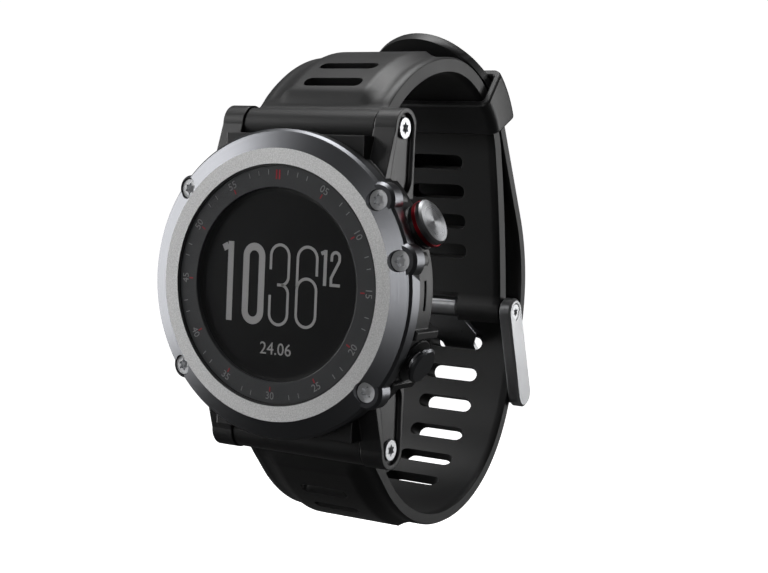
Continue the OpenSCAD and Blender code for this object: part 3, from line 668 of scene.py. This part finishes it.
glass, glass_shader, glass_place = finish(
    "Strengthened glass, clear", Base_Color=colour("#0d0e10"), Roughness=0.03, IOR=1.5, Alpha=0.1
)
smear = node(glass, "ShaderNodeTexNoise", {"Vector": glass_place, "Scale": 55, "Detail": 2})
film = node(glass, "ShaderNodeMapRange", {"Value": smear.outputs["Fac"], "To Min": 0.02, "To Max": 0.05})
wire(glass, film.outputs["Result"], glass_shader.inputs["Roughness"])
lens_rim = [(19.58, 15.0), (19.6, 15.05), (19.6, 15.25), (19.42, LENS_TOP - 0.02), (19.2, LENS_TOP)]
lens_disc = lathe([(0, 15.0)] + lens_rim + [(0, LENS_TOP)])
lens = piece("lens_glass", *closed_grid(lens_disc), "case", glass, 30, hides=("lens",))
gasket_rubber = moulded("Nitrile rubber, black", "#0a0a0b", 0.6)
dress(gasket_rubber, "lens_gasket", "back_gasket", "button_seals")
ring_print = moulded("Printed polycarbonate, dark grey", "#3b3c3e", 0.55, 0.12, 0.08)
ring_shape = [(19.55, RING_TOP), (RING_INNER + 0.1, RING_TOP)]
ring_shape += [(RING_INNER, RING_TOP - 0.06), (RING_INNER, 13.3)]
ring_shape += [(19.2, 13.3), (19.55, 13.6)]
chapter = piece(
    "chapter_ring_print", *closed_grid(lathe(ring_shape), True), "case", ring_print, 30,
    hides=("chapter_ring",),
)
SCREEN_OFF = "#19191a"
screen_black, screen_shader, screen_place = finish(
    "Transflective display, off", Base_Color=colour(SCREEN_OFF), Roughness=0.3, IOR=1.5
)
# the cells are 0.13 mm across
cells = node(screen_black, "ShaderNodeTexVoronoi", {"Vector": screen_place, "Scale": 7700, "Randomness": 0.0})
cell_tone = node(
    screen_black,
    "ShaderNodeMapRange",
    {"Value": cells.outputs["Distance"], "To Min": 1.06, "To Max": 0.94},
)
cell_colour = node(
    screen_black,
    "ShaderNodeVectorMath",
    {0: colour(SCREEN_OFF)[:3], "Scale": cell_tone.outputs["Result"]},
    operation="SCALE",
)
wire(screen_black, cell_colour.outputs["Vector"], screen_shader.inputs["Base Color"])
screen_rim = [(RING_INNER - 0.05, 13.0), (RING_INNER - 0.05, SCREEN_TOP - 0.02), (15.45, SCREEN_TOP)]
screen_disc = lathe([(0, 13.0)] + screen_rim + [(0, SCREEN_TOP)])
screen = piece("display_glass", *closed_grid(screen_disc), "case", screen_black, 30, hides=("display_panel",))
# a black ring on the display under the printed ring's inner wall: the display's printed border, and painted
# shade where that wall shades the display
border_and_shade_black = moulded("Printed border and painted shade, black", "#050505", 0.6)
border_top, border_foot = SCREEN_TOP + 0.02, SCREEN_TOP - 0.1
border = lathe(
    [
        (15.4, border_top),
        (RING_INNER - 0.02, border_top),
        (RING_INNER - 0.02, border_foot),
        (15.4, border_foot),
    ]
)
piece("display_border_and_shade", *closed_grid(border, True), "case", border_and_shade_black)


def ribbon(path, width, height, top):
    """A flat stroke: the path, points of the dial's (x, z) plane, widened by half the width on both sides,
    square to the mean of the steps before and after each point; closed paths close on themselves."""
    path = np.array(path, float)
    closed = np.allclose(path[0], path[-1])
    step = np.diff(path, axis=0)
    step = step / np.hypot(step[:, 0], step[:, 1])[:, None]
    before = np.vstack([step[-1:] if closed else step[:1], step])
    after = np.vstack([step, step[:1] if closed else step[-1:]])
    mean = before + after
    scale = 2 / (mean**2).sum(1)
    away = np.stack([-mean[:, 1], mean[:, 0]], -1) * scale[:, None] * width / 2
    left, right = path + away, path - away
    corners = np.stack([left, left, right, right], 1)
    levels = np.array([top - height, top, top, top - height])
    points = np.stack([corners[..., 0], np.broadcast_to(-levels, corners.shape[:2]), corners[..., 1]], -1)
    n = len(path)
    i, j = np.meshgrid(np.arange(n - 1), np.arange(4), indexing="ij")
    k = (j + 1) % 4
    faces = np.stack([i * 4 + j, (i + 1) * 4 + j, (i + 1) * 4 + k, i * 4 + k], -1).reshape(-1, 4)
    if not closed:
        faces = np.vstack([faces, [[3, 2, 1, 0]], [[4 * n - 4, 4 * n - 3, 4 * n - 2, 4 * n - 1]]])
    return points.reshape(-1, 3), faces


def arc(cx, cy, r, start, end):
    """Points of a circle's arc between two angles in degrees."""
    a = np.radians(np.linspace(start, end, 14))
    return np.stack([cx + r * np.cos(a), cy + r * np.sin(a)], -1)


def numeral(digit, w, h, t):
    """The strokes of a condensed numeral in a box w wide and h high, as middle lines of strokes t wide."""
    r, m = (w - t) / 2, w / 2
    low, high, left, right = t / 2 + r, h - t / 2 - r, t / 2, w - t / 2
    if digit == "0":
        return [np.vstack([arc(m, high, r, 180, 0), arc(m, low, r, 0, -180), [(left, high)]])]
    if digit == "1":
        flag = np.linspace(0, 1, 2)[:, None] * (w - t, 0.5 * (w - t)) + (0, h - 1.15 * t - 0.5 * (w - t))
        return [np.array([(w - t / 2, 0), (w - t / 2, h)]), flag + (0, 0.55 * t)]
    if digit == "2":
        start, foot = [(left, h * 0.7)], [(right, h * 0.72), (left, h * 0.24), (left, t / 2), (w, t / 2)]
        return [np.vstack([start, arc(m, high, r, 180, 0), foot])]
    if digit == "3":
        q = r * 0.8
        upper = np.vstack([[(left, h * 0.68)], arc(m, high, r, 180, 0), arc(right - q, h / 2 + q, q, 0, -90)])
        upper = np.vstack([upper, [(w * 0.4, h / 2)]])
        lower = np.vstack([arc(right - q, h / 2 - q, q, 90, 0), arc(m, low, r, 0, -180), [(left, h * 0.37)]])
        return [upper, lower]
    bowl = np.vstack([arc(m, h * 0.6 - r, r, 180, 0), arc(m, low, r, 0, -180), [(left, h * 0.6 - r)]])
    return [bowl, np.vstack([[(left, h * 0.5)], arc(m, high, r, 180, 0), [(right, h * 0.64)]])]


def joined(parts):
    """One set of points and faces from several."""
    start = np.cumsum([0] + [len(p) for p, _ in parts[:-1]])
    faces = [f for (_, fs), n in zip(parts, start) for f in (np.array(fs) + n).tolist()]
    return np.vstack([p for p, _ in parts]), faces


lit = moulded("Transflective display, lit cells", "#b9b8b8", 0.5, 0.13, 0.05)
strokes = []
for digit, x0, z0, w, h, t in (
    ("1", -11.2, -6.6, 2.15, 13.3, 1.15),
    ("0", -7.0, -6.9, 4.45, 13.6, 1.25),
    ("3", -1.6, -6.8, 4.1, 13.7, 0.48),
    ("6", 3.75, -6.75, 4.3, 13.6, 0.48),
    ("1", 8.55, 0.55, 1.15, 5.8, 0.62),
    ("2", 10.35, 0.5, 2.0, 5.8, 0.5),
):
    strokes += [ribbon(path + (x0, z0), t, 0.1, SCREEN_TOP + 0.03) for path in numeral(digit, w, h, t)]
piece("display_time", *joined(strokes), "case", lit)


def lettering(name, text, size, material, place):
    """Numbers as a thin solid: text is turned into a mesh, placed by a matrix in millimetres, then kept
    there."""
    curve = bpy.data.curves.new(name, "FONT")
    curve.body, curve.size, curve.align_x, curve.align_y = text, size, "CENTER", "CENTER"
    curve.extrude, curve.resolution_u = 0.02, 3
    source = bpy.data.objects.new(name + "_text", curve)
    bpy.context.scene.collection.objects.link(source)
    mesh = bpy.data.meshes.new_from_object(source.evaluated_get(bpy.context.evaluated_depsgraph_get()))
    bpy.data.objects.remove(source)
    mesh.transform(Matrix.Scale(MM, 4) @ place)
    mesh.materials.clear()
    mesh.materials.append(material)
    made = bpy.data.objects.new(name, mesh)
    bpy.context.scene.collection.objects.link(made)
    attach(made, "case")
    return made


facing = Matrix.Rotation(np.pi / 2, 4, "X")
date_at = Matrix.Translation((0.2, -SCREEN_TOP - 0.02, -10.7)) @ facing
lettering("display_date", "24.06", 2.9, lit, date_at)
mark_grey = moulded("Printing ink, light grey", "#8f8f90", 0.5, 0.1, 0.03)
mark_red = moulded("Printing ink, red", "#b3202f", 0.5, 0.1, 0.03)
minutes = np.arange(60)
for minute in minutes[minutes % 5 == 0][1:]:
    way = np.pi / 2 - np.radians(minute * 6)
    spin = way - np.pi / 2 if (minute <= 15 or minute >= 45) else way + np.pi / 2
    at = Matrix.Translation((18.35 * np.cos(way), -RING_TOP - 0.02, 18.35 * np.sin(way)))
    turn_it = Matrix.Rotation(-spin, 4, "Y")
    lettering(f"minute_{minute:02d}", f"{minute:02d}", 1.75, mark_grey, at @ turn_it @ facing)


def radial_mark(minute, r1, r2, width, shift=0.0):
    """A bar that points at the dial's centre, shifted sideways."""
    way = np.pi / 2 - np.radians(minute * 6)
    out, beside = np.array([np.cos(way), np.sin(way)]), np.array([-np.sin(way), np.cos(way)])
    return ribbon([out * r1 + beside * shift, out * r2 + beside * shift], width, 0.04, RING_TOP + 0.03)


grey_marks = [radial_mark(m, 18.2, 19.0, 0.14) for m in minutes if 1 < m % 5 < 4 or m in (1, 59)]
piece("minute_marks", *joined(grey_marks), "case", mark_grey)
red_marks = [radial_mark(m, 16.85, 17.6, 0.2) for m in minutes if m % 5 == 0 and m]
red_marks += [radial_mark(0, 17.4, 18.95, 0.28, shift) for shift in (-0.3, 0.3)]
piece("five_minute_marks", *joined(red_marks), "case", mark_red)

# ---- Buttons ----
# Turned steel caps on stems that run in bushings. The start button is bright with a red anodised ring at its
# foot; the other four are coated dark.
BUTTON_HEIGHT = 7.5
CAP_FOOT = 25  # how far from the dial's axis a cap starts


def turned_cap(name, hex_value, rough, clock):
    """A cap faced on a lathe: its axis leaves the case at the clock place, in degrees from 3 o'clock. The
    tangent is the axis crossed with the place seen from a point of the axis, so the highlight opens as two
    fans."""
    material, shader, place = finish(
        name, Base_Color=colour(hex_value), Metallic=1.0, Roughness=rough, Anisotropic=0.85
    )
    axis = (np.cos(np.radians(clock)), 0, np.sin(np.radians(clock)))
    foot = (axis[0] * CAP_FOOT * MM, -BUTTON_HEIGHT * MM, axis[2] * CAP_FOOT * MM)
    off = node(material, "ShaderNodeVectorMath", {0: place, 1: foot}, operation="SUBTRACT")
    round_it = node(
        material, "ShaderNodeVectorMath", {0: axis, 1: off.outputs["Vector"]}, operation="CROSS_PRODUCT"
    )
    along = node(material, "ShaderNodeVectorMath", {0: round_it.outputs["Vector"]}, operation="NORMALIZE")
    away = node(material, "ShaderNodeVectorMath", {0: round_it.outputs["Vector"]}, operation="LENGTH")
    rings = node(
        material,
        "ShaderNodeTexNoise",
        {"W": away.outputs["Value"], "Scale": 6000, "Detail": 3},
        noise_dimensions="1D",
    )
    spread = node(
        material,
        "ShaderNodeMapRange",
        {"Value": rings.outputs["Fac"], "To Min": rough - 0.08, "To Max": rough + 0.08},
    )
    wire(material, along.outputs["Vector"], shader.inputs["Tangent"])
    wire(material, spread.outputs["Result"], shader.inputs["Roughness"])
    return material


start_steel = turned_cap("Stainless steel, turned cap", "#8d8e90", 0.3, 25)
key_coat = brushed("Stainless steel, dark coated cap", COATING, 0.36, 0.2, (1, 1, 1))
dress(start_steel, "start_button")
dress(key_coat, "back_button", "light_button", "up_button", "down_button")
red_anodised = brushed("Anodised aluminium, red", "#8e1422", 0.36, 0.2, (1, 1, 1))
dress(red_anodised, "start_ring")
spring_steel = brushed("Spring steel, bright", "#c9cacd", 0.22, 0.3, (1, 1, 1))
for part in ("_clip", "_spring"):
    dress(spring_steel, *[key + part for key in ("start", "back", "light", "up", "down")])
dress(brushed("Stainless steel, turned bushing", "#8e9094", 0.3, 0.2, (1, 1, 1)), "button_bushings")

# ---- Case back ----
# A bead-blasted steel cover held by four screws, with a moulded block that carries four gold-plated charging
# contacts.
back_steel = brushed("Stainless steel, bead blasted", "#8d8f92", 0.42, 0.25, (1, 1, 1), 0.00002)
dress(back_steel, "back_cover")
dress(moulded("Liquid crystal polymer, black", "#151517", 0.45), "contact_block")
gold = brushed("Gold plating on brass", "#d9b45a", 0.22, 0.3, (1, 1, 1))
dress(gold, "charging_contacts", "antenna_contacts")

# ---- Inside the case ----
# The electronics: a round board with its shield, chip and screws, the cell on its foam pad, the display's
# light guide, holder and ribbon, and the small movers and sensors.
dress(moulded("Solder mask on glass-fibre laminate", "#1d5a3a", 0.35), "main_board")
dress(brushed("Tinned steel sheet", "#c3c6ca", 0.3, 0.3, (1, 1, 1)), "shield_can")
dress(moulded("Epoxy moulding compound", "#1f2022", 0.6), "receiver_chip")
dress(brushed("Aluminium laminate pouch", "#8f959c", 0.38, 0.6, (1, 1, 1), 0.00003), "battery")
dress(moulded("Adhesive foam", "#d8bd6c", 0.85, 0.5, 0.5), "battery_pad")
dress(
    brushed("Nickel-plated steel", "#a8abb0", 0.28, 0.3, (1, 1, 1)),
    "vibration_motor", "pressure_sensor", "button_switches",
)
dress(brushed("Brass, rolled", "#caa85a", 0.3, 0.3, (1, 0.2, 1)), "buzzer")
dress(moulded("Expanded fluoropolymer membrane", "#e9e9e6", 0.8), "vent_membrane")
dress(moulded("Acrylic light guide", "#dfe4e8", 0.15, 0.5, 0.05), "light_guide")
dress(moulded("Polycarbonate, grey", "#2f3236", 0.5), "display_holder")
dress(moulded("Polyimide film, amber", "#b5701c", 0.3, 0.5, 0.05), "display_flex")

# ---- Studio ----
# A pale floor that rises into a round wall and a dome and glows, low enough for the open strap; two soft
# boxes at the left, one each in front, above and behind on the right, and a long lens at the dial's right.
FLOOR_DROP = 110  # below the watch
FLOOR_R, CURVE_R, DOME_TOP = 2000, 1000, 3500
floor_z = cad_low.z / MM - FLOOR_DROP
bend = np.linspace(0, np.pi / 2, 16)
# of (radius, height): a flat floor, a quarter circle up to the wall, and a quarter of an ellipse over the top
curve, dome = bend[1:], bend[1:-1]
profile_r = [[10, 600, 1300, FLOOR_R], FLOOR_R + CURVE_R * np.sin(curve)]
profile_r += [(FLOOR_R + CURVE_R) * np.cos(dome), [10]]
profile_z = [np.zeros(4), CURVE_R * (1 - np.cos(curve))]
profile_z += [CURVE_R + (DOME_TOP - CURVE_R) * np.sin(dome), [DOME_TOP]]
profile_r, profile_z = np.concatenate(profile_r), np.concatenate(profile_z)
round_turn = np.linspace(0, 2 * np.pi, 65)[:-1]
cove = np.stack(
    [
        profile_r[:, None] * np.cos(round_turn),
        profile_r[:, None] * np.sin(round_turn),
        np.broadcast_to(profile_z[:, None] + floor_z, (len(profile_r), len(round_turn))),
    ],
    -1,
)
_, panels = closed_grid(cove)
rim_points = np.arange(len(profile_r) * len(round_turn)).reshape(len(profile_r), -1)
panels = panels.tolist() + [rim_points[0, ::-1].tolist(), rim_points[-1].tolist()]
backdrop_mesh = bpy.data.meshes.new("studio_floor")
backdrop_mesh.from_pydata((cove.reshape(-1, 3) * MM).tolist(), [], panels)
backdrop_mesh.shade_smooth()
backdrop = bpy.data.objects.new("studio_floor", backdrop_mesh)
bpy.context.scene.collection.objects.link(backdrop)
paper, _, _ = finish(
    "Studio paper, white", Base_Color=colour("#f6f6f6"), Roughness=0.9, Specular_IOR_Level=0.1,
    Emission_Color=(1, 1, 1, 1), Emission_Strength=1.0,
)
# the paper glows but lights and mirrors nothing, so only the soft boxes shape the watch
backdrop.visible_glossy = backdrop.visible_diffuse = False
backdrop_mesh.materials.append(paper)
backdrop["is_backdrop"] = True

world = bpy.data.worlds.new("studio")
bpy.context.scene.world = world
world.use_nodes = True
world.node_tree.nodes["Background"].inputs["Color"].default_value = (1, 1, 1, 1)
world.node_tree.nodes["Background"].inputs["Strength"].default_value = 0.05


def soft_light(name, at, aim, size, power):
    """An area light at a point, turned to its aim; sizes in metres."""
    data = bpy.data.lights.new(name, "AREA")
    data.shape, data.size, data.size_y, data.energy = "RECTANGLE", size[0], size[1], power
    made = bpy.data.objects.new(name, data)
    made.location = at
    made.rotation_euler = (Vector(aim) - Vector(at)).to_track_quat("-Z", "Y").to_euler()
    bpy.context.scene.collection.objects.link(made)


soft_light("left", (-0.5, -0.14, 0.05), (0, 0, 0), (0.3, 0.5), 2.3)
soft_light("upper_left", (-0.5, -0.35, 0.3), (0, 0, 0), (0.2, 0.2), 0.7)
soft_light("front", (0.14, -0.6, 0.05), (0, 0, 0), (0.1, 0.3), 0.75)
soft_light("top", (-0.1, 0.05, 0.6), (0, 0, 0), (0.5, 0.3), 4)
soft_light("rim", (0.45, 0.55, 0.1), (0, 0, 0), (0.2, 0.5), 1.9)

# the camera: 258 mm from the origin, 31 degrees to the dial's right and 4 above, rolled 2.5 degrees
CAMERA_AT = (0.14202, -0.21451, 0.01789)
LENS_MM, SENSOR_MM = 69.91, 36
camera = bpy.data.objects.new("camera", bpy.data.cameras.new("camera"))
bpy.context.scene.collection.objects.link(camera)
azimuth, elevation, roll = np.radians(31.2), 0.0707054, 0.044155
toward = np.array(
    [-np.sin(azimuth) * np.cos(elevation), np.cos(azimuth) * np.cos(elevation), -np.sin(elevation)]
)
level = np.array([np.cos(azimuth), np.sin(azimuth), 0])
upright = np.cross(level, toward)
right = level * np.cos(roll) + upright * np.sin(roll)
up = -level * np.sin(roll) + upright * np.cos(roll)
turned_to = Matrix([[right[k], up[k], -toward[k]] for k in range(3)]).to_4x4()
camera.matrix_world = Matrix.Translation(CAMERA_AT) @ turned_to
camera.data.sensor_width, camera.data.lens = SENSOR_MM, LENS_MM
camera.data.clip_start, camera.data.clip_end = 0.01, 10
bpy.context.scene.camera = camera
bpy.context.scene.view_settings.view_transform = "Standard"

low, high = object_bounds()
